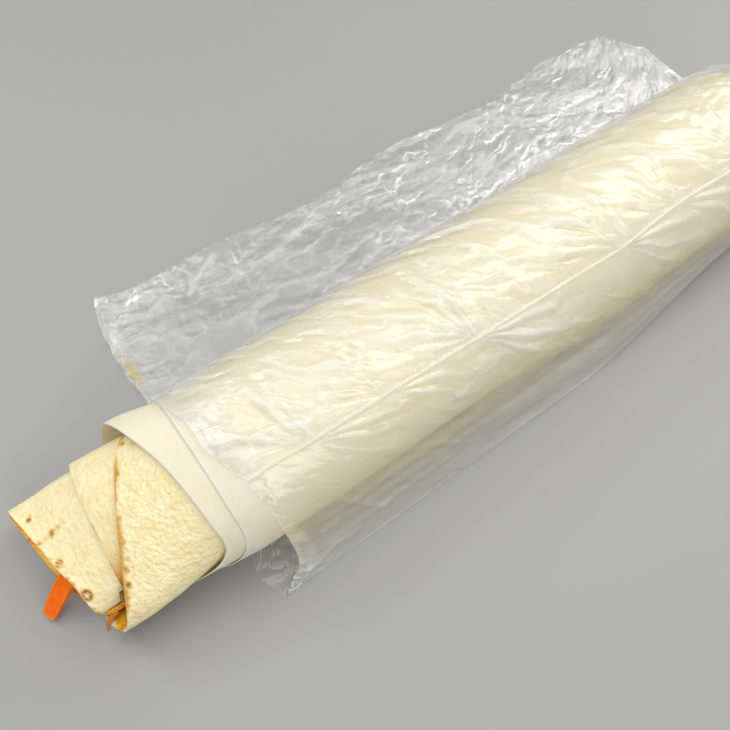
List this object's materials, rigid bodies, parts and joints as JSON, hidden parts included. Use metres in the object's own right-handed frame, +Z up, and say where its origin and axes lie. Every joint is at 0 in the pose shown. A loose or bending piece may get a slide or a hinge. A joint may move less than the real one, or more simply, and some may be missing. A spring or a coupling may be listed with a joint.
{
  "type": "cig kofte wrap",
  "caption": "Long rolled flatbread wrap with a spiced bulgur filling and carrot, in a greaseproof paper sleeve inside a thin clear bag, lying on its side.",
  "frame": {"origin": "middle of the underside of the whole object's box, on the table", "axes": "+X along the roll, from its open end to the bag's closed end; +Z up; -Y the side where the bag's front fold lies close to the roll"},
  "size_m": [0.304, 0.1236, 0.049],
  "materials": {
    "flatbread": "soft baked wheat flatbread, cream with brown bubbles and charred specks",
    "filling": "dark red-brown bulgur paste, moist",
    "carrot": "raw cut carrot, wet",
    "greaseproof_paper": "thin translucent greaseproof paper, faint fibre mottling",
    "clear_film": "thin crinkled clear plastic film, glossy"
  },
  "bodies": {
    "root": {"lavash": "flatbread", "filling": "filling", "filling_side": "filling", "carrot_strip": "carrot", "carrot_shred": "carrot", "paper_sleeve": "greaseproof_paper", "bag": "clear_film"}
  },
  "joints": []
}
